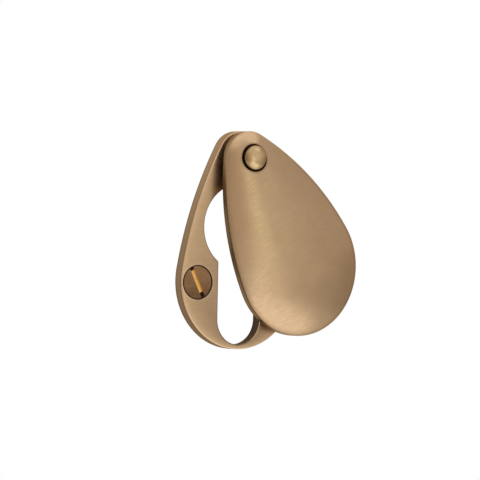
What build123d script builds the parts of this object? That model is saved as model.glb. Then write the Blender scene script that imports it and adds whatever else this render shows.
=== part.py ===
from build123d import *
import math
import os

# Covered keyhole escutcheon for a Euro profile lock cylinder, in millimetres.
# The pieces are drawn as if the plate lay on a table: x across, y up the door, z off the door.
# They are stood upright at the end, so the front faces -Y and the back lies on the plane Y = 0.
# The origin is the centre of the keyhole's round, on the back of the plate.

# Keyhole, set by the lock cylinder's standard profile
keyhole_round_radius = 8.9
keyhole_slot_width = 10.5
keyhole_slot_drop = 19.1  # from the round's centre to the centre of the slot's foot
keyhole_corner_radius = 0.7  # where the round runs into the slot
keyhole_edge_break = 0.22
keyhole_foot_wall = 0.95  # metal left below the slot

# Back plate
plate_thickness = 2.75
plate_top_radius = 5.6
plate_foot_radius = 14.1
plate_flank_radius = 87.0
plate_edge_break = 0.2
pivot_above_keyhole = 5.4  # from the top of the keyhole's round to the pivot

# Swing cover, a dished casting with a boss for its pivot
swing_open = 30.0  # degrees that the cover stands open, towards +X
cover_top_inset = 0.08  # how far the cover's narrow end stays inside the plate's
cover_foot_overhang = 0.4  # how far its wide end stands past the plate's
cover_reach_extra = 0.15
cover_flank_radius = 57.5
cover_gap = 1.43  # air between the plate and the cover's rim
cover_rim = 1.6  # height of the rim's upright wall
cover_rim_land = 1.8  # width of the flat rim round the hollow
cover_wall = 1.6  # at both ends of the dome, and a little more between them
cover_edge_break = 0.2
dome_top_crown = 1.8  # rise of the dome over the rim, at the pivot
dome_foot_crown = 3.0  # and at the centre of the wide end
dome_flank_radius = 155.0
boss_land_share = 0.75  # how much of the rim land is left outside the boss
boss_clearance = 0.05  # between the boss and the plate

# Pivot rivet
rivet_shank_radius = 1.5
rivet_clearance = 0.05  # round the shank in the cover, and under the head
rivet_head_radius = 2.56
rivet_head_side = 1.35
rivet_head_crown = 0.8
rivet_head_edge_radius = 0.6
rivet_head_ring = 0.28  # open ring between the head and its recess
rivet_recess_depth = 0.45  # at the shallow side of the recess
rivet_tail_flare = 0.8  # the tail is hammered out into a countersink this deep
rivet_tail_sink = 0.1  # and lies this far below the plate's back

# Slotted countersunk wood screws
screw_head_radius = 3.43
screw_head_ring = 0.17  # the countersink's mouth is this much wider than the head
screw_edge_land = 0.05  # flat metal between the countersink and the plate's broken edge
screw_drop = 11.55  # below the keyhole's round
screw_shank_radius = 1.75
screw_hole_clearance = 0.25
screw_core_radius = 1.25
screw_length = 20.0
screw_plain_length = 6.5
screw_point_length = 3.5
screw_slot_width = 0.95
screw_slot_depth = 0.95
screw_slot_turns = {-1: 26.0, 1: -40.0}  # degrees from upright, by the side of the plate

# Places worked out from the sizes above
pivot_height = keyhole_round_radius + pivot_above_keyhole
plate_foot_drop = keyhole_slot_drop + keyhole_slot_width / 2 + keyhole_foot_wall - plate_foot_radius
plate_reach = pivot_height + plate_foot_drop
cover_top_radius = plate_top_radius - cover_top_inset
cover_foot_radius = plate_foot_radius + cover_foot_overhang
cover_reach = plate_reach + cover_reach_extra
cover_back = plate_thickness + cover_gap
cover_front_rim = cover_back + cover_rim
boss_radius = cover_top_radius - boss_land_share * cover_rim_land
countersink_radius = screw_head_radius + screw_head_ring
screw_offset = plate_foot_radius - plate_edge_break - screw_edge_land - countersink_radius
screw_hole_radius = screw_shank_radius + screw_hole_clearance
rivet_recess_radius = rivet_head_radius + rivet_head_ring


def sphere_radius(rim_radius, crown):
    """Radius of the sphere whose cap has this rim and this height."""
    return (rim_radius**2 + crown**2) / (2 * crown)


dome_top_radius = sphere_radius(cover_top_radius, dome_top_crown)
dome_foot_radius = sphere_radius(cover_foot_radius, dome_foot_crown)
dome_top_centre = cover_front_rim + dome_top_crown - dome_top_radius
dome_foot_centre = cover_front_rim + dome_foot_crown - dome_foot_radius
dome_rise = dome_top_centre - dome_foot_centre
dome_axis = math.hypot(cover_reach, dome_rise)
recess_edge = dome_top_centre + math.sqrt(dome_top_radius**2 - rivet_recess_radius**2)
recess_floor = recess_edge - rivet_recess_depth


def teardrop(reach, top_radius, foot_radius, flank_radius):
    """Face bounded by a foot arc about the origin, a top arc above it and two flanks tangent to both."""
    to_top = flank_radius - top_radius
    to_foot = flank_radius - foot_radius
    along = (reach**2 + to_foot**2 - to_top**2) / (2 * reach)
    centre = Vector(-math.sqrt(to_foot**2 - along**2), along)
    up = (Vector(0, reach) - centre).normalized()
    down = (Vector(0, 0) - centre).normalized()
    upper, middle, lower = [centre + way.normalized() * flank_radius for way in (up, up + down, down)]
    upper_left, middle_left, lower_left = [Vector(-p.X, p.Y) for p in (upper, middle, lower)]
    return make_face(
        [
            ThreePointArc(upper_left, (0, reach + top_radius), upper),
            ThreePointArc(upper, middle, lower),
            ThreePointArc(lower, (0, -foot_radius), lower_left),
            ThreePointArc(lower_left, middle_left, upper_left),
        ]
    )


def disc(radius, low, high):
    """Round bar on the z axis, from one height to another."""
    return Pos(0, 0, low) * Cylinder(radius, high - low, align=(Align.CENTER, Align.CENTER, Align.MIN))


def turned(profile):
    """Solid turned about the z axis from a closed line of (radius, height) points."""
    return revolve(Plane.XZ * make_face(Polyline(*profile, close=True)), axis=Axis.Z)


def keyhole():
    """Outline of the cut-out: a round, a slot below it and softened corners between them."""
    half = keyhole_slot_width / 2
    slot = Pos(0, -keyhole_slot_drop / 2) * Rectangle(keyhole_slot_width, keyhole_slot_drop)
    foot = Pos(0, -keyhole_slot_drop) * Circle(half)
    outline = Circle(keyhole_round_radius) + slot + foot
    corner_height = -math.sqrt(keyhole_round_radius**2 - half**2)
    corners = [v for v in outline.vertices() if abs(v.Y - corner_height) < keyhole_corner_radius]
    return fillet(corners, keyhole_corner_radius)


def back_plate():
    """Flat teardrop plate, pierced for the lock, the rivet and the screws."""
    outline = teardrop(plate_reach, plate_top_radius, plate_foot_radius, plate_flank_radius)
    plate = extrude(Pos(0, -plate_foot_drop) * outline, plate_thickness)
    front = plate.faces().sort_by(Axis.Z)[-1]
    plate = chamfer(front.outer_wire().edges(), plate_edge_break)
    plate -= extrude(keyhole(), plate_thickness)
    front = plate.faces().sort_by(Axis.Z)[-1]
    plate = chamfer(front.inner_wires()[0].edges(), keyhole_edge_break)
    sink_depth = countersink_radius - screw_hole_radius
    sink = turned(
        [
            (0, plate_thickness),
            (countersink_radius, plate_thickness),
            (screw_hole_radius, plate_thickness - sink_depth),
            (screw_hole_radius, 0),
            (0, 0),
        ]
    )
    for side in screw_slot_turns:
        plate -= Pos(side * screw_offset, -screw_drop) * sink
    rivet_hole = turned(
        [
            (0, plate_thickness),
            (rivet_shank_radius, plate_thickness),
            (rivet_shank_radius, rivet_tail_flare),
            (rivet_shank_radius + rivet_tail_flare, 0),
            (0, 0),
        ]
    )
    return plate - Pos(0, pivot_height) * rivet_hole


def egg(outline):
    """Solid turned from an outline about its own axis, which is laid through the dome's two centres."""
    tilt = math.degrees(math.atan2(dome_rise, cover_reach))
    body = revolve(split(outline, bisect_by=Plane.YZ), axis=Axis.Y)
    return Pos(0, -cover_reach, dome_foot_centre) * Rot(X=tilt) * body


def dome():
    """Egg that the dome is a slice of."""
    return egg(teardrop(dome_axis, dome_top_radius, dome_foot_radius, dome_flank_radius))


def cover_prism(inset):
    """Upright block of the cover's outline, from its rim to well above the dome."""
    outline = teardrop(
        cover_reach,
        cover_top_radius - inset,
        cover_foot_radius - inset,
        cover_flank_radius - inset,
    )
    return Pos(0, -cover_reach, cover_back) * extrude(outline, cover_rim + 2 * dome_foot_crown)


def hollow():
    """Space behind the dome, straight-sided between its round ends, with the boss left standing."""
    foot_end = Circle(dome_foot_radius - cover_wall)
    top_end = Pos(0, dome_axis) * Circle(dome_top_radius - cover_wall)
    core = egg(make_hull(foot_end.edges() + top_end.edges()))
    boss = disc(boss_radius, cover_back, cover_front_rim + dome_foot_crown)
    return (cover_prism(cover_rim_land) & core) - boss


def swing_cover():
    """Domed cover about its pivot at the origin, hanging shut."""
    cover = cover_prism(0) & dome()
    wall_edges = cover.faces().filter_by(GeomType.CYLINDER).edges()
    front_rim = [e for e in wall_edges if e.bounding_box().min.Z > cover_back + cover_rim / 2]
    cover = chamfer(front_rim, cover_edge_break)
    cover -= hollow()
    cover += disc(boss_radius, plate_thickness + boss_clearance, cover_back)
    cover -= disc(rivet_shank_radius + rivet_clearance, 0, recess_floor)
    return cover - disc(rivet_recess_radius, recess_floor, cover_front_rim + 2 * dome_foot_crown)


def pivot_rivet():
    """Domed head, shank and hammered tail, turned about the z axis."""
    seat = recess_floor + rivet_clearance
    shoulder = (rivet_head_radius, seat + rivet_head_side)
    top = (0, seat + rivet_head_side + rivet_head_crown)
    stem = Polyline(
        top,
        (0, rivet_tail_sink),
        (rivet_shank_radius + rivet_tail_flare - rivet_tail_sink, rivet_tail_sink),
        (rivet_shank_radius, rivet_tail_flare),
        (rivet_shank_radius, seat),
        (rivet_head_radius, seat),
        shoulder,
    )
    crown = RadiusArc(shoulder, top, -sphere_radius(rivet_head_radius, rivet_head_crown))
    profile = make_face(stem.edges() + crown.edges())
    corner = profile.vertices().sort_by_distance(shoulder)[0]
    return revolve(Plane.XZ * fillet(corner, rivet_head_edge_radius), axis=Axis.Z)


def wood_screw(slot_turn):
    """Slotted countersunk screw about the z axis, its head's face at height zero and its point below."""
    core_start = screw_plain_length + screw_shank_radius - screw_core_radius
    screw = turned(
        [
            (0, 0),
            (screw_head_radius, 0),
            (screw_shank_radius, screw_shank_radius - screw_head_radius),
            (screw_shank_radius, -screw_plain_length),
            (screw_core_radius, -core_start),
            (screw_core_radius, screw_point_length - screw_length),
            (0, -screw_length),
        ]
    )
    slot = Box(screw_slot_width, 3 * screw_head_radius, 2 * screw_slot_depth)
    return screw - Rot(Z=slot_turn) * slot


def fixing_screws():
    """Both screws, seated where their heads meet the countersinks."""
    face = plate_thickness - screw_head_ring
    return Compound(
        children=[
            Pos(side * screw_offset, -screw_drop, face) * wood_screw(turn)
            for side, turn in screw_slot_turns.items()
        ]
    )


at_pivot = Pos(0, pivot_height)
pieces = {
    "back_plate": back_plate(),
    "swing_cover": at_pivot * Rot(Z=swing_open) * swing_cover(),
    "pivot_rivet": at_pivot * pivot_rivet(),
    "fixing_screws": fixing_screws(),
}

os.makedirs("parts", exist_ok=True)
for name, piece in pieces.items():
    export_step(Plane.XZ.location * piece, os.path.join("parts", name + ".step"))
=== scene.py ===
import bmesh
import bpy
import math
import numpy as np
from mathutils import Matrix, Vector
from mathutils.geometry import delaunay_2d_cdt


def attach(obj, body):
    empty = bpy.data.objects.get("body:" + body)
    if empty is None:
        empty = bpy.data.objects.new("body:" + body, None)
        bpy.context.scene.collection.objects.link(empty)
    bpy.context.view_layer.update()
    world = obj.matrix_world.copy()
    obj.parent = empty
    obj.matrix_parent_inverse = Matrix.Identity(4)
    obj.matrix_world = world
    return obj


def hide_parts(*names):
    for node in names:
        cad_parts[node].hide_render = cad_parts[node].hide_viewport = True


# Covered keyhole escutcheon in antiqued brass.
# Each piece is drawn lying down, in millimetres: x across, y up the door, z off the door.
# It is then stood up in the frame, in metres, with its front towards -Y.

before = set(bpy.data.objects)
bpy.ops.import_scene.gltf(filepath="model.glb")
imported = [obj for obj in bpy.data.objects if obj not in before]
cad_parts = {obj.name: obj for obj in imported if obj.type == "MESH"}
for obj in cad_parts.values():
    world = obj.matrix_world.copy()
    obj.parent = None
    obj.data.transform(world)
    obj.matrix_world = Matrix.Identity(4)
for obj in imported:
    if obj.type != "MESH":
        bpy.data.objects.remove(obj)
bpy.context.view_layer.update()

MM = 0.001

# Keyhole
keyhole_round_radius = 8.9
keyhole_slot_width = 10.5
keyhole_slot_drop = 19.1
keyhole_corner_radius = 0.7
keyhole_edge_radius = 0.22
keyhole_foot_wall = 0.95

# Back plate
plate_thickness = 2.75
plate_top_radius = 5.6
plate_foot_radius = 14.1
plate_flank_radius = 87.0
plate_edge_radius = 0.2
plate_back_edge_radius = 0.12
plate_buffed_drop = 0.2  # how far buffing has lowered the plate's front at its edge
plate_buffed_reach = 3.5  # and how far in from the edge that starts
pivot_above_keyhole = 5.4

# Swing cover
swing_open = math.radians(30.0)
cover_top_inset = 0.08
cover_foot_overhang = 0.4
cover_reach_extra = 0.15
cover_flank_radius = 57.5
cover_gap = 1.43
cover_rim = 1.6
cover_rim_land = 1.8
cover_wall = 1.6
cover_edge_radius = 0.2
cover_back_edge_radius = 0.12
dome_top_crown = 1.8
dome_foot_crown = 3.0
dome_flank_radius = 155.0
hollow_flank_radius = 1e5  # as good as straight
boss_land_share = 0.75
boss_clearance = 0.05

# Pivot rivet
rivet_shank_radius = 1.5
rivet_clearance = 0.05
rivet_head_radius = 2.56
rivet_head_side = 1.35
rivet_head_crown = 0.8
rivet_head_edge_radius = 0.6
rivet_head_ring = 0.28
rivet_recess_depth = 0.45
rivet_recess_edge = 0.06
rivet_tail_flare = 0.8
rivet_tail_sink = 0.1

# Slotted countersunk wood screws
screw_head_radius = 3.43
screw_head_ring = 0.17
screw_head_edge = 0.05
screw_face_radius = 3.27  # within it the head's face is rubbed clean
screw_edge_land = 0.05
screw_drop = 11.55
screw_shank_radius = 1.75
screw_hole_clearance = 0.25
screw_core_radius = 1.25
screw_length = 20.0
screw_plain_length = 6.5
screw_point_length = 3.5
screw_pitch = 1.41
screw_thread_share = 0.32  # how much of the pitch the thread takes up at its root
screw_slot_width = 0.95
screw_slot_depth = 0.95
screw_slot_turns = {-1: math.radians(26.0), 1: math.radians(-40.0)}

# How far faces are darkened, by antiquing and by painted shade, from 0 for not at all to 1 for the darkest
# brown
patina_deep = 1.0  # in holes and under heads
patina_behind = 0.55  # on the plate's back
plate_shades = {0.0: 0.75, 0.15: 0.4, 0.75: 0.4, 1.0: 0.55}  # antiquing up the plate's wall, by share of its height, with painted shade at its back edge against the door
plate_painted_shade_fall = 0.0084  # painted shade: the plate's wall darker by this much more for each millimetre down the door
face_shaded = (0.6, 4.8)  # the plate's front is darkened more and more between these distances from its edge, by antiquing and painted shade
face_patina_and_shade_gains = {-24.0: 0.45, -22.0: 0.167, -19.5: 0.079, -15.0: 0.045, -4.0: 0.012}  # per millimetre, by height: antiquing, and painted shade that grows towards the foot
keyhole_shades = {0.0: 0.95, 0.5: 0.92, 1.0: 0.9}  # up the keyhole's wall
keyhole_edge_painted_shade = 0.5  # painted shade on the keyhole's front edge, full on its left half and fading out to its right
rim_bounds = (6.5, 11.5, 44.5)  # distances from the pivot that the rim's shades are given for
rim_shades = {  # at those distances, by share of the rim's height, front to back: antiquing, lighter near the pivot, with painted shade darkening its front and back edges further off
    0.0: (0.25, 0.8, 0.8),
    0.25: (0.4, 0.53, 0.5),
    0.7: (0.55, 0.53, 0.5),
    1.0: (0.55, 0.8, 0.8),
}
patina_rim_land = 0.1
dome_edge_shades = {6.5: 0.08, 17.0: 0.4}  # painted shade on the dome beside its rim, at these distances from the pivot
dome_edge_reach = 1.1
patina_hollow = 0.7
patina_recess = 0.85
halo_patina_and_shadow = 0.5  # antiquing and painted shadow on the dome round the recess
halo_reach = 0.4
patina_rivet_edge = 0.4
patina_rivet_tail = 0.4
rivet_clean_radius = 1.5
screw_foot_painted_shade = 0.5  # painted shade at the lowest point of a screw's face, and none at the highest
patina_slot_top = 0.6  # at the top of the slot's walls

# How far places are brightened, by rubbing and by painted highlights, from 0 for not at all to 1
face_rub_and_highlight = 0.5  # brightened by rubbing and a painted highlight at the edge of the plate's front
face_rub_and_highlight_reach = 1.2
sink_rub_and_highlight = 0.5  # brightened by rubbing and a painted highlight round a countersink's mouth
rivet_rub_and_highlight = 0.5  # brightened by rubbing and a painted highlight in the middle of the rivet's head

# Fineness of the meshes
outline_step = 0.3  # along an outline
face_step = 0.6  # between the vertices inside a large flat face
support_gap = 0.02  # from a rounded edge to the ring that keeps the flat beside it flat
edge_steps = 5  # across a rounded edge
shoulder_steps = 10  # across the rivet's shoulder
crown_steps = 20  # from there to the middle of its crown
dome_rings = 96
hollow_rings = 24
halvings = 50  # when a height is narrowed down
lathe_sides = 96
thread_sides = 40
thread_step = 0.08
sharp_angle = math.radians(32.0)
same_point = 1e-6  # points of an outline closer than this are one
seam_gap = 1e-5  # vertices closer than this are joined

# Places worked out from the sizes above
pivot_height = keyhole_round_radius + pivot_above_keyhole
plate_foot_drop = keyhole_slot_drop + keyhole_slot_width / 2 + keyhole_foot_wall - plate_foot_radius
plate_reach = pivot_height + plate_foot_drop
cover_top_radius = plate_top_radius - cover_top_inset
cover_foot_radius = plate_foot_radius + cover_foot_overhang
cover_reach = plate_reach + cover_reach_extra
cover_back = plate_thickness + cover_gap
cover_front_rim = cover_back + cover_rim
boss_radius = cover_top_radius - boss_land_share * cover_rim_land
countersink_radius = screw_head_radius + screw_head_ring
screw_offset = plate_foot_radius - plate_edge_radius - screw_edge_land - countersink_radius
screw_hole_radius = screw_shank_radius + screw_hole_clearance
rivet_recess_radius = rivet_head_radius + rivet_head_ring
slot_cutter_length = 3 * screw_head_radius  # well past the head on both sides


def sphere_radius(rim_radius, crown):
    """Radius of the sphere whose cap has this rim and this height."""
    return (rim_radius**2 + crown**2) / (2 * crown)


dome_top_radius = sphere_radius(cover_top_radius, dome_top_crown)
dome_foot_radius = sphere_radius(cover_foot_radius, dome_foot_crown)
dome_top_centre = cover_front_rim + dome_top_crown - dome_top_radius
dome_foot_centre = cover_front_rim + dome_foot_crown - dome_foot_radius
dome_rise = dome_top_centre - dome_foot_centre
dome_axis = math.hypot(cover_reach, dome_rise)
recess_edge = dome_top_centre + math.sqrt(dome_top_radius**2 - rivet_recess_radius**2)
recess_floor = recess_edge - rivet_recess_depth


# Outlines


def loop(arcs):
    """Points and outward normals along arcs given by centre, radius, first and last angle of the normal."""
    points, normals = [], []
    for centre, radius, first, last in arcs:
        steps = max(edge_steps, math.ceil(abs(radius * (last - first)) / outline_step))
        angles = np.linspace(first, last, steps + 1)
        ways = np.stack([np.cos(angles), np.sin(angles)], axis=1)
        points.append(np.array(centre) + radius * ways)
        normals.append(ways)
    points, normals = np.concatenate(points), np.concatenate(normals)
    apart = np.linalg.norm(points - np.roll(points, 1, axis=0), axis=1) > same_point
    return points[apart], normals[apart]


def flank_of(reach, top_radius, foot_radius, flank_radius):
    """Centre and end angles of a flank arc tangent to a foot circle about the origin and a top circle."""
    to_top = flank_radius - top_radius
    to_foot = flank_radius - foot_radius
    along = (reach**2 + to_foot**2 - to_top**2) / (2 * reach)
    across = math.sqrt(to_foot**2 - along**2)
    return across, along, math.atan2(-along, across), math.atan2(reach - along, across)


def teardrop(foot_height, reach, top_radius, foot_radius, flank_radius):
    """Outline of a foot arc, a top arc above it and two flanks tangent to both."""
    across, along, low, high = flank_of(reach, top_radius, foot_radius, flank_radius)
    return loop(
        [
            ((-across, foot_height + along), flank_radius, low, high),
            ((0, foot_height + reach), top_radius, high, math.pi - high),
            ((across, foot_height + along), flank_radius, math.pi - high, math.pi - low),
            ((0, foot_height), foot_radius, math.pi - low, 2 * math.pi + low),
        ]
    )


def keyhole():
    """Outline of the cut-out, its normals pointing into the plate."""
    half = keyhole_slot_width / 2
    corner_x = half + keyhole_corner_radius
    corner_y = -math.sqrt((keyhole_round_radius + keyhole_corner_radius) ** 2 - corner_x**2)
    turn = math.atan2(corner_y, corner_x)
    return loop(
        [
            ((corner_x, corner_y), -keyhole_corner_radius, 0, turn),
            ((0, 0), keyhole_round_radius, turn, math.pi - turn),
            ((-corner_x, corner_y), -keyhole_corner_radius, math.pi - turn, math.pi),
            ((0, -keyhole_slot_drop), half, math.pi, 2 * math.pi),
        ]
    )


def circle(centre, sides=lathe_sides):
    """A point repeated, with normals all round, so that moving it outwards gives a circle."""
    angles = np.linspace(0, 2 * math.pi, sides, endpoint=False)
    normals = np.stack([np.cos(angles), np.sin(angles)], axis=1)
    return np.tile(np.array(centre, float), (sides, 1)), normals


def at_height(points, height):
    """Points in space from points in the plane and one height, or a height for each."""
    return np.column_stack([points, np.broadcast_to(height, len(points))])


def within(points, starts, ends):
    """Whether each point lies inside the loops whose edges run between these starts and ends."""
    x, y = points[:, :1], points[:, 1:]
    rises = (starts[:, 1] > y) != (ends[:, 1] > y)
    with np.errstate(divide="ignore", invalid="ignore"):
        share = (y - starts[:, 1]) / (ends[:, 1] - starts[:, 1])
        crossing = starts[:, 0] + share * (ends[:, 0] - starts[:, 0])
        return (rises & (x < crossing)).sum(axis=1) % 2 == 1


def quarter(radius):
    """Rounded edge, from the wall to the face, as distances in from the wall and down from the face."""
    angles = np.linspace(0, math.pi / 2, edge_steps + 1)
    return [(radius * (1 - math.cos(a)), radius * (1 - math.sin(a))) for a in angles]


# Meshes

standing = Matrix.Rotation(math.pi / 2, 4, "X") @ Matrix.Scale(MM, 4)


def shown(name, mesh, spot):
    """Object of a mesh stood up at its spot. Each vertex keeps where it was drawn, for the grain."""
    drawn = mesh.verts.layers.float_vector.new("drawn")
    for vertex in mesh.verts:
        vertex[drawn] = vertex.co
    mesh.transform(standing @ spot)
    data = bpy.data.meshes.new(name)
    mesh.to_mesh(data)
    mesh.free()
    data.shade_smooth()
    data.set_sharp_from_angle(angle=sharp_angle)
    piece = bpy.data.objects.new(name, data)
    bpy.context.scene.collection.objects.link(piece)
    return piece


class Skin:
    """Mesh made of rings of vertices, each with how far it is darkened, by antiquing and painted shade, and
    how far it is brightened, by rubbing and painted highlights.
    """

    def __init__(self):
        self.mesh = bmesh.new()
        self.patina_and_shade = self.mesh.verts.layers.float.new("patina_and_shade")
        self.wear_and_highlight = self.mesh.verts.layers.float.new("wear_and_highlight")

    def ring(self, points, patina_and_shade=0.0, wear_and_highlight=0.0):
        """Vertices at points, with one shade for all or one for each."""
        made = [self.mesh.verts.new(p) for p in points]
        shades = np.broadcast_to(patina_and_shade, len(made))
        rubs = np.broadcast_to(wear_and_highlight, len(made))
        for vertex, shade, rub_and_highlight in zip(made, shades, rubs):
            vertex[self.patina_and_shade] = shade
            vertex[self.wear_and_highlight] = rub_and_highlight
        return made

    def tube(self, rings, closed=False):
        """Faces between each ring and the next."""
        following = rings[1:] + rings[:1] if closed else rings[1:]
        for low, high in zip(rings, following):
            for i in range(len(low)):
                j = (i + 1) % len(low)
                self.mesh.faces.new((low[i], low[j], high[j], high[i]))

    def cap(self, ring):
        """Flat face inside one ring."""
        self.mesh.faces.new(ring)

    def flat(self, rings):
        """Flat face bounded by rings: one outside, the others round its holes."""
        pairs = [(ring[i - 1], ring[i]) for ring in rings for i in range(len(ring))]
        edges = [self.mesh.edges.get(pair) or self.mesh.edges.new(pair) for pair in pairs]
        bmesh.ops.triangle_fill(self.mesh, use_beauty=True, edges=edges)

    def meshed(self, rings):
        """Flat face like flat(), with a grid of vertices inside."""
        rim = [vertex for ring in rings for vertex in ring]
        ends = np.cumsum([len(ring) for ring in rings])
        after = np.arange(1, len(rim) + 1)
        after[ends - 1] = ends - [len(ring) for ring in rings]
        corners = np.array([vertex.co.xy for vertex in rim])
        height = rim[0].co.z
        low, high = corners.min(axis=0), corners.max(axis=0)
        columns, rows = [np.arange(first, last, face_step) for first, last in zip(low, high)]
        across, up = np.meshgrid(columns, rows)
        grid = np.column_stack([across.ravel(), up.ravel()])
        grid = grid[np.linalg.norm(grid[:, None] - corners, axis=2).min(axis=1) > face_step / 2]
        grid = grid[within(grid, corners, corners[after])]
        made = rim + self.ring(at_height(grid, height))
        spots = [Vector(p) for p in np.concatenate([corners, grid])]
        edges = [(i, int(j)) for i, j in enumerate(after)]
        _, _, faces, origins, _, _ = delaunay_2d_cdt(spots, edges, [], 0, same_point)
        middles = np.array([np.mean([spots[origins[i][0]] for i in face], axis=0) for face in faces])
        for face, kept in zip(faces, within(middles, corners, corners[after])):
            if kept:
                self.mesh.faces.new([made[origins[i][0]] for i in face])

    def whole(self):
        """The mesh with its seams joined and its faces turned outwards."""
        bmesh.ops.remove_doubles(self.mesh, verts=self.mesh.verts, dist=seam_gap)
        bmesh.ops.recalc_face_normals(self.mesh, faces=self.mesh.faces)
        return self.mesh


def lathe(skin, centre, profile, sides=lathe_sides, patina_and_shade=0.0, wear_and_highlight=0.0):
    """Rings of a turned form, from (radius, height) points."""
    points, normals = circle(centre, sides)
    return [skin.ring(at_height(points + r * normals, z), patina_and_shade, wear_and_highlight) for r, z in profile]


# Back plate


def walled(skin, outline, inward, edge_radius, shades, fall=0.0, edge_painted_shade=0.0, edge_wear_and_highlight=0.0):
    """Rings up a wall of the plate's thickness, with rounded edges and a support ring on each face.

    The shades go up the wall, and the fall adds painted shade to them along it. The front edge gets its own
    painted shade, and its brightening by rubbing and painted highlight.
    """
    points, normals = outline
    back_radius = plate_back_edge_radius
    low = back_radius + support_gap
    high = plate_thickness - edge_radius - support_gap
    path = [(back_radius + support_gap, 0, patina_behind, 0.0)]
    path += [(inset, drop, shades[0.0], 0.0) for inset, drop in reversed(quarter(back_radius))]
    path += [(0, low + share * (high - low), patina_and_shade + fall, 0.0) for share, patina_and_shade in shades.items()]
    path += [(inset, plate_thickness - drop, edge_painted_shade, edge_wear_and_highlight) for inset, drop in quarter(edge_radius)]
    path += [(edge_radius + support_gap, plate_thickness, 0.0, 0.0)]
    return [
        skin.ring(at_height(points - inward * inset * normals, z), patina_and_shade, wear_and_highlight)
        for inset, z, patina_and_shade, wear_and_highlight in path
    ]


def buff(skin, outline):
    """Lowers the plate's front towards its outline, brightens it there by rubbing and a painted highlight,
    and darkens it further in by antiquing and by painted shade that grows towards the foot.
    """
    for vertex in skin.mesh.verts:
        if vertex.co.z < plate_thickness / 2:
            continue
        inset = np.linalg.norm(outline - vertex.co.xy, axis=1).min()
        if vertex.co.z > plate_thickness - support_gap:
            # antiquing and painted shade in from the edge, more towards the foot
            gain = np.interp(vertex.co.y, *zip(*face_patina_and_shade_gains.items()))
            vertex[skin.patina_and_shade] += gain * (np.clip(inset, *face_shaded) - face_shaded[0])
            # rubbing and painted highlight near the edge
            vertex[skin.wear_and_highlight] = max(vertex[skin.wear_and_highlight], face_rub_and_highlight * (1 - inset / face_rub_and_highlight_reach))
        vertex.co.z -= plate_buffed_drop * max(0, 1 - inset / plate_buffed_reach) ** 2


def back_plate():
    """Teardrop plate with rounded edges, pierced for the lock, the screws and the rivet."""
    skin = Skin()
    outline = teardrop(
        -plate_foot_drop,
        plate_reach,
        plate_top_radius,
        plate_foot_radius,
        plate_flank_radius,
    )
    up = outline[0][:, 1]
    outer_wall = walled(
        skin,
        outline,
        inward=1,
        edge_radius=plate_edge_radius,
        shades=plate_shades,
        # painted shade, darker down the door
        fall=-plate_painted_shade_fall * up,
        # the front edge brightened by rubbing and a painted highlight, fading out above the pivot
        edge_wear_and_highlight=np.clip((pivot_height - up) / plate_top_radius + 1, 0, 1),
    )
    cut_out = keyhole()
    # painted shade on the keyhole's front edge at its left, and a painted highlight at its right
    keyhole_painted_highlight = np.clip(2 * cut_out[0][:, 0] / keyhole_slot_width, 0, 1)
    key_wall = walled(
        skin,
        cut_out,
        inward=-1,
        edge_radius=keyhole_edge_radius,
        shades=keyhole_shades,
        edge_painted_shade=keyhole_edge_painted_shade * (1 - keyhole_painted_highlight),
        edge_wear_and_highlight=keyhole_painted_highlight,
    )
    walls = [outer_wall, key_wall]
    sink_floor = plate_thickness - countersink_radius + screw_hole_radius
    sink_back = [(screw_hole_radius + support_gap, 0)]
    sink = [
        (screw_hole_radius, 0),
        (screw_hole_radius, sink_floor),
        (countersink_radius - screw_head_edge, plate_thickness - screw_head_edge),
    ]
    sink_mouth = [
        (countersink_radius, plate_thickness),
        (countersink_radius + support_gap, plate_thickness),
    ]
    for side in screw_slot_turns:
        centre = (side * screw_offset, -screw_drop)
        wall = lathe(skin, centre, sink_back, patina_and_shade=patina_behind)
        wall += lathe(skin, centre, sink, patina_and_shade=patina_deep)
        # brightened by rubbing and a painted highlight round the mouth
        wall += lathe(skin, centre, sink_mouth, wear_and_highlight=sink_rub_and_highlight)
        walls.append(wall)
    rivet_hole = [
        (rivet_shank_radius + rivet_tail_flare, 0),
        (rivet_shank_radius, rivet_tail_flare),
        (rivet_shank_radius, plate_thickness),
    ]
    walls.append(lathe(skin, (0, pivot_height), rivet_hole, patina_and_shade=patina_behind))
    for wall in walls:
        skin.tube(wall)
    skin.flat([wall[0] for wall in walls])
    skin.meshed([wall[-1] for wall in walls])
    buff(skin, outline[0])
    return skin.whole()


# Swing cover


def egg_height(points, inset, flank_radius):
    """Height of the egg that the dome is sliced from over points about the pivot, and its normals there.

    The egg is a teardrop turned about the line through the centres of its two round ends.
    """
    top_radius, foot_radius = dome_top_radius - inset, dome_foot_radius - inset
    across, along, low, high = flank_of(dome_axis, top_radius, foot_radius, flank_radius)
    lean_up, lean_along = dome_rise / dome_axis, cover_reach / dome_axis
    flank_first = foot_radius * math.sin(low)
    flank_last = dome_axis + top_radius * math.sin(high)
    x, y = points[:, 0], points[:, 1] + cover_reach
    inside = y * dome_rise / cover_reach
    outside = inside + 2 * foot_radius
    for _ in range(halvings):
        z = (inside + outside) / 2
        t = y * lean_along + z * lean_up
        s = z * lean_along - y * lean_up
        parts = [t < flank_first, t > flank_last]
        from_centre = t - np.select(parts, [0.0, dome_axis], along)
        radius = np.select(parts, [foot_radius, top_radius], flank_radius)
        reach = np.sqrt(np.maximum(radius**2 - from_centre**2, 0))
        r = np.hypot(x, s)
        below = r < np.select(parts, [0.0, 0.0], -across) + reach
        inside = np.where(below, z, inside)
        outside = np.where(below, outside, z)
    slope = -from_centre / reach
    tilt = s / r
    rise = tilt * lean_along - slope * lean_up
    normals = np.column_stack([x / r, -tilt * lean_up - slope * lean_along, rise])
    normals /= np.linalg.norm(normals, axis=1)[:, None]
    return z + dome_foot_centre, normals


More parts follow.
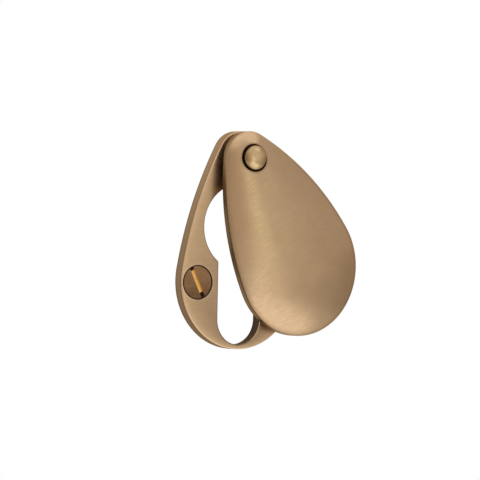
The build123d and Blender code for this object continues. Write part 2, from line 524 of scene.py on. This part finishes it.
def dome_height(points):
    """Height and normals of the cover's front."""
    return egg_height(points, 0.0, dome_flank_radius)


def hollow_height(points):
    """Height of the hollow's ceiling behind the dome. Its flanks are straight."""
    return egg_height(points, cover_wall, hollow_flank_radius)[0]


def swing_cover():
    """Domed cover about its pivot, hanging shut, as rings from its hole over the front to the back."""
    skin = Skin()
    outline, outward = teardrop(
        -cover_reach,
        cover_reach,
        cover_top_radius,
        cover_foot_radius,
        cover_flank_radius,
    )
    distance = np.linalg.norm(outline, axis=1)
    ways = outline / distance[:, None]

    def round_ring(radius, height, patina_and_shade):
        return skin.ring(at_height(ways * radius, height), patina_and_shade)

    hole_radius = rivet_shank_radius + rivet_clearance
    lip = ways * (rivet_recess_radius + rivet_recess_edge)
    lip_height, _ = dome_height(lip)
    rings = [
        round_ring(hole_radius, recess_floor, patina_deep),
        round_ring(rivet_recess_radius, recess_floor, patina_deep),
        round_ring(rivet_recess_radius, lip_height - rivet_recess_edge, patina_recess),
    ]

    border = np.interp(distance, *zip(*dome_edge_shades.items()))
    rim = {share: np.interp(distance, rim_bounds, shades) for share, shades in rim_shades.items()}

    # The rim's rounded edge is a ball that rolls between the dome and the upright wall
    ball = outline - cover_edge_radius * outward
    ball_top, dome_way = dome_height(ball)
    ball_height = ball_top - cover_edge_radius / dome_way[:, 2]
    wall_way = at_height(outward, 0.0)
    meet = ball + cover_edge_radius * dome_way[:, :2]
    for share in np.linspace(0, 1, dome_rings):
        across = lip + share * (meet - lip)
        height, _ = dome_height(across)
        off_lip = np.linalg.norm(across - lip, axis=1)
        # antiquing and painted shadow round the recess
        halo = np.interp(off_lip, [0, halo_reach], [halo_patina_and_shadow, 0])
        off_rim = np.linalg.norm(across[:, None] - meet, axis=2).min(axis=1)
        # painted shade along the dome beside its rim
        shade = halo + border * np.clip(1 - off_rim / dome_edge_reach, 0, 1) ** 2
        rings.append(skin.ring(at_height(across, height), shade))
    for share in np.linspace(0, 1, edge_steps + 1)[1:]:
        way = (1 - share) * dome_way + share * wall_way
        way /= np.linalg.norm(way, axis=1)[:, None]
        edge = at_height(ball, ball_height) + cover_edge_radius * way
        rings.append(skin.ring(edge, border + share**2 * (rim[0.0] - border)))
    rim_top = cover_front_rim - cover_edge_radius - support_gap
    rim_foot = cover_back + cover_back_edge_radius + support_gap
    # antiquing on the rim, with painted shade at its edges
    for share, patina_and_shade in rim.items():
        rings.append(skin.ring(at_height(outline, rim_top + share * (rim_foot - rim_top)), patina_and_shade))
    for inset, rise in quarter(cover_back_edge_radius):
        rings.append(skin.ring(at_height(outline - inset * outward, cover_back + rise), rim[1.0]))

    # Behind: the rim's land, the hollow under the dome and the boss round the pivot
    land = outline - cover_rim_land * outward
    hollowed = np.linalg.norm(land, axis=1) > boss_radius
    boss = ways * boss_radius
    inner = np.where(hollowed[:, None], land, boss)
    land_edge = outline - (cover_back_edge_radius + support_gap) * outward
    rings.append(skin.ring(at_height(land_edge, cover_back), patina_rim_land))
    rings.append(skin.ring(at_height(inner, cover_back), patina_hollow))
    for share in np.linspace(1, 0, hollow_rings):
        spot = boss + share * (inner - boss)
        height = np.where(hollowed, hollow_height(spot), cover_back)
        rings.append(skin.ring(at_height(spot, height), patina_hollow))
    rings.append(round_ring(boss_radius, plate_thickness + boss_clearance, patina_hollow))
    rings.append(round_ring(hole_radius, plate_thickness + boss_clearance, patina_deep))
    skin.tube(rings, closed=True)
    return skin.whole()


# Pivot rivet


def pivot_rivet():
    """Domed head, shank and hammered tail."""
    skin = Skin()
    seat = recess_floor + rivet_clearance
    crown_radius = sphere_radius(rivet_head_radius, rivet_head_crown)
    crown_centre = seat + rivet_head_side + rivet_head_crown - crown_radius
    flare_radius = rivet_shank_radius + rivet_tail_flare - rivet_tail_sink
    tail = [(flare_radius, rivet_tail_sink)]
    stem = [
        (rivet_shank_radius, rivet_tail_flare),
        (rivet_shank_radius, seat),
        (rivet_head_radius, seat),
    ]

    # The shoulder is a ball that rolls between the upright side and the crown
    ball = rivet_head_radius - rivet_head_edge_radius
    ball_height = crown_centre + math.sqrt((crown_radius - rivet_head_edge_radius) ** 2 - ball**2)
    meet = math.asin(ball / (crown_radius - rivet_head_edge_radius))
    shoulder = [
        (ball + rivet_head_edge_radius * math.sin(a), ball_height + rivet_head_edge_radius * math.cos(a))
        for a in np.linspace(math.pi / 2, meet, shoulder_steps)
    ]
    crown = [
        (crown_radius * math.sin(a), crown_centre + crown_radius * math.cos(a))
        for a in np.linspace(meet, 0, crown_steps, endpoint=False)[1:]
    ]
    side = [
        (rivet_head_radius, seat + rivet_recess_depth),
        (rivet_head_radius, ball_height - support_gap),
    ]
    rings = lathe(skin, (0, 0), tail, patina_and_shade=patina_rivet_tail)
    rings += lathe(skin, (0, 0), stem, patina_and_shade=patina_deep)
    rings += lathe(skin, (0, 0), side, patina_and_shade=patina_rivet_edge)
    for radius, height in shoulder + crown:
        patina_and_shade = np.interp(radius, [rivet_clean_radius, rivet_head_radius], [0, patina_rivet_edge])
        # brightened towards the middle of the head by rubbing and a painted highlight
        wear_and_highlight = rivet_rub_and_highlight * (1 - radius / rivet_head_radius)
        rings += lathe(skin, (0, 0), [(radius, height)], patina_and_shade=patina_and_shade, wear_and_highlight=wear_and_highlight)
    skin.tube(rings)
    skin.cap(rings[0])
    skin.cap(rings[-1])
    return skin.whole()


# Fixing screws


def thread_radius(turn, height):
    """Radius of the threaded shank where the thread has turned this far, in turns, at this height."""
    point = np.clip((height + screw_length) / screw_point_length, 0, 1)
    start = np.clip((-screw_plain_length - height) / screw_pitch, 0, 1)
    phase = np.abs((height / screw_pitch + turn) % 1 - 0.5) * 2
    ridge = np.clip(1 - phase / screw_thread_share, 0, 1)
    core = screw_shank_radius + (screw_core_radius - screw_shank_radius) * start
    return point * (core + (screw_shank_radius - core) * ridge)


def wood_screw():
    """Countersunk screw, its head's face at height zero and its point below."""
    skin = Skin()
    turns = np.arange(thread_sides) / thread_sides
    ways = np.stack([np.cos(2 * math.pi * turns), np.sin(2 * math.pi * turns)], axis=1)
    head = [
        (screw_face_radius, 0),
        (screw_head_radius - screw_head_edge, 0),
        (screw_head_radius, -screw_head_edge),
        (screw_shank_radius, screw_shank_radius - screw_head_radius),
        (screw_shank_radius, -screw_plain_length),
    ]
    rings = lathe(skin, (0, 0), head, sides=thread_sides)
    steps = round((screw_length - screw_plain_length) / thread_step)
    for height in np.linspace(-screw_plain_length, -screw_length, steps, endpoint=False)[1:]:
        radius = thread_radius(turns, height)
        rings.append(skin.ring(at_height(ways * radius[:, None], height)))
    tip = skin.ring([(0, 0, -screw_length)])
    skin.tube(rings)
    skin.cap(rings[0])
    for i in range(thread_sides):
        skin.mesh.faces.new((rings[-1][i - 1], rings[-1][i], tip[0]))
    return skin.whole()


def slotted(screw, slot_turn):
    """A screw's mesh with its slot cut across the head, the slot's floor in the second material."""
    cutter = bmesh.new()
    size = Vector((screw_slot_width, slot_cutter_length, 2 * screw_slot_depth))
    turned = Matrix.Rotation(slot_turn, 4, "Z") @ Matrix.Diagonal(size).to_4x4()
    bmesh.ops.create_cube(cutter, size=1.0, matrix=turned)
    objects = []
    for name, mesh in {"uncut_screw": screw, "slot_cutter": cutter}.items():
        data = bpy.data.meshes.new(name)
        mesh.to_mesh(data)
        mesh.free()
        objects.append(bpy.data.objects.new(name, data))
        bpy.context.scene.collection.objects.link(objects[-1])
    cut = objects[0].modifiers.new("slot", "BOOLEAN")
    cut.operation = "DIFFERENCE"
    cut.solver = "EXACT"
    cut.object = objects[1]
    graph = bpy.context.evaluated_depsgraph_get()
    result = bmesh.new()
    result.from_mesh(bpy.data.meshes.new_from_object(objects[0].evaluated_get(graph)))
    for made in objects:
        bpy.data.objects.remove(made)
    result.verts.layers.float.remove(result.verts.layers.float["patina_and_shade"])
    patina_and_shade = result.loops.layers.float.new("patina_and_shade")
    across = Vector((math.cos(slot_turn), math.sin(slot_turn), 0))
    for face in result.faces:
        middle = face.calc_center_median()
        between_walls = abs(middle.dot(across)) < screw_slot_width / 2 + support_gap
        in_depth = -screw_slot_depth - support_gap < middle.z < -support_gap
        in_slot = between_walls and in_depth and middle.xy.length < screw_head_radius - screw_slot_depth
        face.material_index = int(in_slot)
        for corner in face.loops:
            spot = corner.vert.co
            if in_slot:
                corner[patina_and_shade] = patina_slot_top * (1 + spot.z / screw_slot_depth)
            elif spot.xy.length < screw_face_radius + support_gap:
                # painted shade, darker towards the lowest point of the face
                corner[patina_and_shade] = screw_foot_painted_shade * (1 - spot.y / screw_face_radius) / 2
            else:
                corner[patina_and_shade] = patina_deep
    return result


# Materials

grey_brown = (0.034, 0.021, 0.021, 1)
warm_brown = (0.042, 0.02, 0.01, 1)
burnt_orange = (0.35, 0.09, 0.004, 1)
glancing = (0.8, 0.62, 0.45, 1)  # tint of the metals at a glancing angle
grain_scale = (0.25, 2.6, 2.6)  # to the millimetre, so the brushed lines run across the door
grain_detail = 4.0
grain_depth = 0.00002  # in metres
mottle_scale = 0.3  # to the millimetre
mottle_detail = 5.0
noise_spread = {"From Min": 0.32, "From Max": 0.68}  # where most of a noise lies
patina_dulling = 0.25  # more roughness under the darkest brown
wear_and_highlight_strength = 0.4  # share of the brighter colour where rubbing and painted highlight are strongest
mix_share, mix_first, mix_second = 0, 6, 7  # inputs of a node that mixes colours
mix_colour = 2  # and its output


def add(tree, kind, inputs=(), **settings):
    """Node of a kind, with its settings and with values or links for its inputs."""
    made = tree.nodes.new(kind)
    for name, value in settings.items():
        setattr(made, name, value)
    for key, value in dict(inputs).items():
        if isinstance(value, bpy.types.NodeSocket):
            tree.links.new(value, made.inputs[key])
        else:
            made.inputs[key].default_value = value
    return made


def stored(tree, name, output="Fac"):
    """What the mesh stores under a name."""
    return add(tree, "ShaderNodeAttribute", attribute_name=name).outputs[output]


def maths(tree, operation, *values):
    """Result of an operation on values or links."""
    return add(tree, "ShaderNodeMath", enumerate(values), operation=operation).outputs[0]


def mixed(tree, share, first, second):
    """Colour mixed from two by a share."""
    sockets = {mix_share: share, mix_first: first, mix_second: second}
    return add(tree, "ShaderNodeMix", sockets, data_type="RGBA").outputs[mix_colour]


def brass(name, light, dark, aged_and_shaded, smooth, rough, grain_strength, rubbed_and_highlight=None):
    """Satin brass with a fine brushed grain, soft mottling, antiqued recesses with painted shade, and edges
    brightened by rubbing and painted highlights.
    """
    material = bpy.data.materials.new(name)
    material.use_nodes = True
    tree = material.node_tree
    shader = tree.nodes["Principled BSDF"]
    drawn = stored(tree, "drawn", "Vector")
    patina_and_shade = stored(tree, "patina_and_shade")
    stretched = add(tree, "ShaderNodeMapping", {"Vector": drawn, "Scale": grain_scale}).outputs[0]
    lines = {"Vector": stretched, "Scale": 1.0, "Detail": grain_detail}
    grain = add(tree, "ShaderNodeTexNoise", lines).outputs["Fac"]
    clouds = {"Vector": drawn, "Scale": mottle_scale, "Detail": mottle_detail}
    mottle = add(tree, "ShaderNodeTexNoise", clouds).outputs["Fac"]
    streaks = add(tree, "ShaderNodeMapRange", {"Value": grain} | noise_spread).outputs[0]
    spots = add(tree, "ShaderNodeMapRange", {"Value": mottle} | noise_spread).outputs[0]
    gloss = {"Value": streaks, "To Min": smooth, "To Max": rough}
    satin = add(tree, "ShaderNodeMapRange", gloss).outputs[0]
    tone = maths(tree, "DIVIDE", maths(tree, "ADD", streaks, spots), 2)
    colour = mixed(tree, tone, light, dark)
    if rubbed_and_highlight:
        # brightened by rubbing and by painted highlights
        rub_and_highlight = maths(tree, "MULTIPLY", stored(tree, "wear_and_highlight"), wear_and_highlight_strength)
        colour = mixed(tree, rub_and_highlight, colour, rubbed_and_highlight)
    # darkened towards the brown by antiquing and by painted shade
    colour = mixed(tree, patina_and_shade, colour, aged_and_shaded)
    dulled = maths(tree, "MULTIPLY_ADD", patina_and_shade, patina_dulling, satin)
    scratches = {"Height": grain, "Strength": grain_strength, "Distance": grain_depth}
    bump = add(tree, "ShaderNodeBump", scratches).outputs[0]
    tree.links.new(colour, shader.inputs["Base Color"])
    tree.links.new(dulled, shader.inputs["Roughness"])
    tree.links.new(bump, shader.inputs["Normal"])
    shader.inputs["Metallic"].default_value = 1.0
    shader.inputs["Specular Tint"].default_value = glancing
    return material


def plain(name, colour, roughness):
    """Matt surface of one colour, for the floor."""
    material = bpy.data.materials.new(name)
    material.use_nodes = True
    shader = material.node_tree.nodes["Principled BSDF"]
    shader.inputs["Base Color"].default_value = colour
    shader.inputs["Roughness"].default_value = roughness
    return material


def glowing(name, left, right, foot=1.0, one_sided=False):
    """Glowing card, shaded from the viewer's left to right and down to a share of that at its foot.

    A one-sided card is clear from behind.
    """
    material = bpy.data.materials.new(name)
    material.use_nodes = True
    material.cycles.emission_sampling = "NONE"
    tree = material.node_tree
    tree.nodes.clear()
    out = add(tree, "ShaderNodeOutputMaterial")
    light = add(tree, "ShaderNodeEmission", {"Color": (*left, 1)})
    if left != right:
        spot = add(tree, "ShaderNodeTexCoord").outputs["Generated"]
        shares = add(tree, "ShaderNodeSeparateXYZ", {0: spot}).outputs
        tree.links.new(mixed(tree, shares["X"], (*right, 1), (*left, 1)), light.inputs["Color"])
        level = add(tree, "ShaderNodeMapRange", {"Value": shares["Z"], "To Min": foot}).outputs[0]
        tree.links.new(level, light.inputs["Strength"])
    light = light.outputs[0]
    if one_sided:
        behind = add(tree, "ShaderNodeNewGeometry").outputs["Backfacing"]
        clear = add(tree, "ShaderNodeBsdfTransparent").outputs[0]
        light = add(tree, "ShaderNodeMixShader", {0: behind, 1: light, 2: clear}).outputs[0]
    tree.links.new(light, out.inputs["Surface"])
    return material


plate_metal = brass(
    "plate_brass",
    light=(0.485, 0.325, 0.182, 1),
    dark=(0.435, 0.288, 0.16, 1),
    rubbed_and_highlight=(0.8, 0.56, 0.34, 1),
    aged_and_shaded=grey_brown,
    smooth=0.3,
    rough=0.38,
    grain_strength=0.05,
)
cover_metal = brass(
    "cover_brass",
    light=(0.46, 0.308, 0.172, 1),
    dark=(0.41, 0.271, 0.151, 1),
    aged_and_shaded=warm_brown,
    smooth=0.22,
    rough=0.3,
    grain_strength=0.02,
)
rivet_metal = brass(
    "rivet_brass",
    light=(0.48, 0.325, 0.164, 1),
    dark=(0.44, 0.295, 0.147, 1),
    rubbed_and_highlight=(0.8, 0.57, 0.32, 1),
    aged_and_shaded=warm_brown,
    smooth=0.16,
    rough=0.22,
    grain_strength=0.01,
)
screw_metal = brass(
    "screw_brass",
    light=(0.33, 0.19, 0.09, 1),
    dark=(0.2, 0.108, 0.05, 1),
    aged_and_shaded=warm_brown,
    smooth=0.3,
    rough=0.42,
    grain_strength=0.08,
)
raw_metal = brass(
    "raw_brass",
    light=(1.0, 0.8, 0.44, 1),
    dark=(0.97, 0.72, 0.33, 1),
    aged_and_shaded=burnt_orange,
    smooth=0.3,
    rough=0.45,
    grain_strength=0.08,
)


def add_piece(name, mesh, metals, body, node, spot=Matrix.Identity(4)):
    """Piece that stands in for a CAD node, on that node's body."""
    piece = shown(name, mesh, spot)
    for metal in metals:
        piece.data.materials.append(metal)
    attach(piece, body)
    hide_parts(node)
    return piece


at_pivot = Matrix.Translation((0, pivot_height, 0))
swung = at_pivot @ Matrix.Rotation(swing_open, 4, "Z")
add_piece("plate", back_plate(), [plate_metal], "plate", "back_plate")
add_piece("cover", swing_cover(), [cover_metal], "cover", "swing_cover", swung)
add_piece("rivet", pivot_rivet(), [rivet_metal], "plate", "pivot_rivet", at_pivot)
for side, turn in screw_slot_turns.items():
    seat = Matrix.Translation((side * screw_offset, -screw_drop, plate_thickness - screw_head_ring))
    name = "screw_left" if side < 0 else "screw_right"
    screw = slotted(wood_screw(), turn)
    add_piece(name, screw, [screw_metal, raw_metal], "plate", "fixing_screws", seat)

# Studio

white = (1, 1, 1)
board_gap = 0.0002
board_size = 3.0
floor_drop = 0.34
floor_size = 3.0
floor_colour = (0.9, 0.9, 0.9, 1)
floor_roughness = 0.6
screen_distance = 0.9


def card(name, width, height, material):
    """Upright rectangle about the origin, facing -Y."""
    half_width, half_height = width / 2, height / 2
    corners = [
        (-half_width, 0, -half_height),
        (half_width, 0, -half_height),
        (half_width, 0, half_height),
        (-half_width, 0, half_height),
    ]
    data = bpy.data.meshes.new(name)
    data.from_pydata(corners, [], [(0, 1, 2, 3)])
    data.materials.append(material)
    made = bpy.data.objects.new(name, data)
    bpy.context.scene.collection.objects.link(made)
    return made


def way(azimuth, elevation):
    """Direction from the object, by degrees to the viewer's right of straight ahead and degrees up."""
    a, e = math.radians(azimuth), math.radians(elevation)
    return Vector((math.sin(a) * math.cos(e), -math.cos(a) * math.cos(e), math.sin(e)))


def aimed(obj, azimuth, elevation, distance, front):
    """Puts a lamp or card in a direction from the object, with its front towards it."""
    direction = way(azimuth, elevation)
    obj.location = direction * distance
    obj.rotation_euler = (-direction).to_track_quat(front, "Z").to_euler()


def screen(name, azimuth, elevation, width, height, left, right, foot=1.0):
    """Card round the object that shows only in its reflections, shaded as glowing() does."""
    made = card(name, width, height, glowing(name, left, right, foot))
    aimed(made, azimuth, elevation, screen_distance, "-Y")
    made.visible_camera = False
    made.visible_diffuse = False
    made.visible_shadow = False


def softbox(name, azimuth, elevation, distance, width, height, level, colour, lean=0.0):
    """Rectangular lamp whose face is this many times as bright as white, turned by its lean in degrees."""
    data = bpy.data.lights.new(name, "AREA")
    data.shape = "RECTANGLE"
    data.size, data.size_y = width, height
    data.energy = level * math.pi * width * height
    data.color = colour
    lamp = bpy.data.objects.new(name, data)
    bpy.context.scene.collection.objects.link(lamp)
    aimed(lamp, azimuth, elevation, distance, "-Z")
    lamp.rotation_euler.rotate_axis("Z", math.radians(lean))
    lamp.visible_camera = False


board = card("board", board_size, board_size, glowing("board_white", white, white, one_sided=True))
board.location = (0, board_gap, 0)
floor = card("floor", floor_size, floor_size, plain("floor_white", floor_colour, floor_roughness))
floor.rotation_euler = (-math.pi / 2, 0, 0)
floor.location = (0, 0, -floor_drop)

screen(
    "right_screen",
    azimuth=62,
    elevation=-11,
    width=1.35,
    height=0.64,
    left=(1.15, 1.13, 1.12),
    right=(0.36, 0.3, 0.29),
    foot=0.7,
)
screen(
    "upper_right_screen",
    azimuth=70,
    elevation=22,
    width=1.0,
    height=0.4,
    left=(0.92, 0.9, 0.92),
    right=(0.68, 0.65, 0.68),
)
screen(
    "left_screen",
    azimuth=-50,
    elevation=-5,
    width=1.75,
    height=1.2,
    left=(0.38, 0.3, 0.28),
    right=(1.13, 1.04, 1.0),
    foot=0.6,
)
softbox(
    "low_box",
    azimuth=18,
    elevation=-39,
    distance=0.36,
    width=0.36,
    height=0.21,
    level=0.84,
    colour=(0.95, 1.02, 1.16),
    lean=-4,
)
softbox(
    "front_strip",
    azimuth=7,
    elevation=-4.5,
    distance=0.8,
    width=0.18,
    height=0.31,
    level=0.5,
    colour=(0.93, 1.1, 0.86),
    lean=25,
)
softbox(
    "upper_left_box",
    azimuth=-22,
    elevation=45,
    distance=0.6,
    width=0.3,
    height=0.3,
    level=0.45,
    colour=(0.97, 1.0, 1.08),
)
softbox(
    "top_box",
    azimuth=40,
    elevation=60,
    distance=0.6,
    width=0.6,
    height=0.5,
    level=0.58,
    colour=(0.94, 1.0, 1.2),
)

world = bpy.data.worlds.new("studio")
bpy.context.scene.world = world
world.use_nodes = True
world.cycles.sampling_method = "NONE"
world.node_tree.nodes["Background"].inputs["Color"].default_value = (*white, 1)
world.node_tree.nodes["Background"].inputs["Strength"].default_value = 1.0

# Camera

camera_azimuth = -33.455  # degrees
camera_elevation = -0.230
camera_roll = 1.105
camera_distance = 0.6863
camera_aim = (-0.001363, 0.002686)  # where the origin stands in the picture, right and up of its middle
camera_lens = 247.7
camera_sensor = 36.0


def photo_camera():
    """Camera that sees the object as the photograph does."""
    data = bpy.data.cameras.new("camera")
    data.sensor_width = camera_sensor
    data.lens = camera_lens
    camera = bpy.data.objects.new("camera", data)
    bpy.context.scene.collection.objects.link(camera)
    back = way(camera_azimuth, camera_elevation)
    level = way(camera_azimuth + 90, 0)
    right = Matrix.Rotation(math.radians(camera_roll), 3, back) @ level
    up = back.cross(right)
    spot = back * camera_distance - right * camera_aim[0] - up * camera_aim[1]
    axes = Matrix((right, up, back)).transposed().to_4x4()
    camera.matrix_world = Matrix.Translation(spot) @ axes
    bpy.context.scene.camera = camera


photo_camera()
bpy.context.scene.view_settings.view_transform = "Standard"
